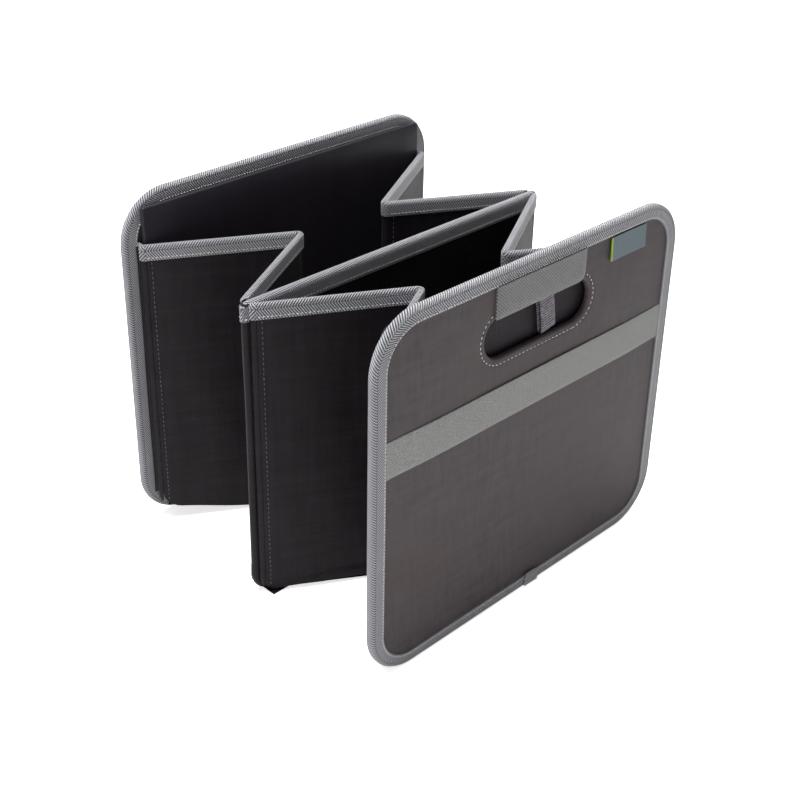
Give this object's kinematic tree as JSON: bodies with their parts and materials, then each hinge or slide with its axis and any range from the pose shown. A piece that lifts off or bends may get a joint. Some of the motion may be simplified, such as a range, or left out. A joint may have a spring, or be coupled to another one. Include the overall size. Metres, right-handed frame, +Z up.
{
  "type": "folding storage box",
  "caption": "Folding storage box: rounded end panels with hand holes, a divider and side walls that fold inwards like a bellows, shown half folded.",
  "frame": {"origin": "middle of the box on the surface that it stands on", "axes": "+X across the box to the right seen from the front, -Y out of the front end panel, +Z up"},
  "size_m": [0.312, 0.2724, 0.28],
  "materials": {
    "panel_cloth": "coated polyester cloth, dark brown grey",
    "wall_cloth": "thin ripstop cloth, near black",
    "plate_cloth": "satin cloth, dark brown grey",
    "stiffener_board": "pressed board",
    "binding_tape": "herringbone tape, grey",
    "handle_wrap": "plain woven cloth over foam, grey",
    "elastic_band": "woven elastic, grey green",
    "webbing": "ribbed webbing, dark grey",
    "tag": "plain woven tag, grey blue with a green edge"
  },
  "bodies": {
    "divider": {"divider_cover": "wall_cloth", "divider_board": "stiffener_board", "divider_tape": "binding_tape", "front_bottom_cloth": "wall_cloth", "rear_bottom_cloth": "wall_cloth"},
    "front_left_inner_wall": {"front_left_inner_wall_cover": "wall_cloth", "front_left_inner_wall_board": "stiffener_board", "front_left_inner_wall_tape": "binding_tape"},
    "front_left_outer_wall": {"front_left_outer_wall_cover": "wall_cloth", "front_left_outer_wall_board": "stiffener_board", "front_left_outer_wall_tape": "binding_tape"},
    "front_right_inner_wall": {"front_right_inner_wall_cover": "wall_cloth", "front_right_inner_wall_board": "stiffener_board", "front_right_inner_wall_tape": "binding_tape"},
    "front_right_outer_wall": {"front_right_outer_wall_cover": "wall_cloth", "front_right_outer_wall_board": "stiffener_board", "front_right_outer_wall_tape": "binding_tape"},
    "front_panel": {"front_panel_cover": "panel_cloth", "front_panel_board": "stiffener_board", "front_panel_lining": "panel_cloth", "front_edge_tape": "binding_tape", "front_handle_wrap": "handle_wrap", "front_floor_plate_cover": "plate_cloth", "front_floor_plate_board": "stiffener_board", "front_pull_loop": "webbing", "front_left_corner_seam": "wall_cloth", "front_right_corner_seam": "wall_cloth", "front_elastic_band": "elastic_band", "front_tag": "tag"},
    "rear_left_inner_wall": {"rear_left_inner_wall_cover": "wall_cloth", "rear_left_inner_wall_board": "stiffener_board", "rear_left_inner_wall_tape": "binding_tape"},
    "rear_left_outer_wall": {"rear_left_outer_wall_cover": "wall_cloth", "rear_left_outer_wall_board": "stiffener_board", "rear_left_outer_wall_tape": "binding_tape"},
    "rear_right_inner_wall": {"rear_right_inner_wall_cover": "wall_cloth", "rear_right_inner_wall_board": "stiffener_board", "rear_right_inner_wall_tape": "binding_tape"},
    "rear_right_outer_wall": {"rear_right_outer_wall_cover": "wall_cloth", "rear_right_outer_wall_board": "stiffener_board", "rear_right_outer_wall_tape": "binding_tape"},
    "rear_panel": {"rear_panel_cover": "panel_cloth", "rear_panel_board": "stiffener_board", "rear_panel_lining": "panel_cloth", "rear_edge_tape": "binding_tape", "rear_handle_wrap": "handle_wrap", "rear_floor_plate_cover": "plate_cloth", "rear_floor_plate_board": "stiffener_board", "rear_pull_loop": "webbing", "rear_left_corner_seam": "wall_cloth", "rear_right_corner_seam": "wall_cloth"}
  },
  "joints": [
    {"name": "front_fold", "type": "hinge", "parent": "divider", "child": "front_left_inner_wall", "pos_m": [-0.142, -0.0035, 0.12], "axis": [0, 0, 1], "range_deg": [-60, 29], "deforming": ["front_bottom_cloth"]},
    {"name": "front_left_middle_fold", "type": "hinge", "parent": "front_left_inner_wall", "child": "front_left_outer_wall", "pos_m": [-0.04672, -0.0635, 0.12], "axis": [0, 0, -1], "range_deg": [-120, 58]},
    {"name": "front_left_end_fold", "type": "hinge", "parent": "front_left_outer_wall", "child": "front_panel", "pos_m": [-0.142, -0.1235, 0.12], "axis": [0, 0, 1], "range_deg": [-60, 29]},
    {"name": "front_right_divider_fold", "type": "hinge", "parent": "divider", "child": "front_right_inner_wall", "pos_m": [0.142, -0.0035, 0.12], "axis": [0, 0, -1], "range_deg": [-60, 29]},
    {"name": "front_right_end_fold", "type": "hinge", "parent": "front_panel", "child": "front_right_outer_wall", "pos_m": [0.142, -0.1235, 0.12], "axis": [0, 0, 1], "range_deg": [-60, 29]},
    {"name": "rear_fold", "type": "hinge", "parent": "divider", "child": "rear_left_inner_wall", "pos_m": [-0.142, 0.0035, 0.12], "axis": [0, 0, -1], "range_deg": [-60, 29], "deforming": ["rear_bottom_cloth"]},
    {"name": "rear_left_middle_fold", "type": "hinge", "parent": "rear_left_inner_wall", "child": "rear_left_outer_wall", "pos_m": [-0.04672, 0.0635, 0.12], "axis": [0, 0, 1], "range_deg": [-120, 58]},
    {"name": "rear_left_end_fold", "type": "hinge", "parent": "rear_left_outer_wall", "child": "rear_panel", "pos_m": [-0.142, 0.1235, 0.12], "axis": [0, 0, -1], "range_deg": [-60, 29]},
    {"name": "rear_right_divider_fold", "type": "hinge", "parent": "divider", "child": "rear_right_inner_wall", "pos_m": [0.142, 0.0035, 0.12], "axis": [0, 0, 1], "range_deg": [-60, 29]},
    {"name": "rear_right_end_fold", "type": "hinge", "parent": "rear_panel", "child": "rear_right_outer_wall", "pos_m": [0.142, 0.1235, 0.12], "axis": [0, 0, -1], "range_deg": [-60, 29]}
  ],
  "couplings": [
    {"joint": "front_left_middle_fold", "follows": "front_fold", "ratio": 2},
    {"joint": "front_left_end_fold", "follows": "front_fold", "ratio": 1},
    {"joint": "front_right_divider_fold", "follows": "front_fold", "ratio": 1},
    {"joint": "front_right_end_fold", "follows": "front_fold", "ratio": 1},
    {"joint": "rear_left_middle_fold", "follows": "rear_fold", "ratio": 2},
    {"joint": "rear_left_end_fold", "follows": "rear_fold", "ratio": 1},
    {"joint": "rear_right_divider_fold", "follows": "rear_fold", "ratio": 1},
    {"joint": "rear_right_end_fold", "follows": "rear_fold", "ratio": 1}
  ]
}
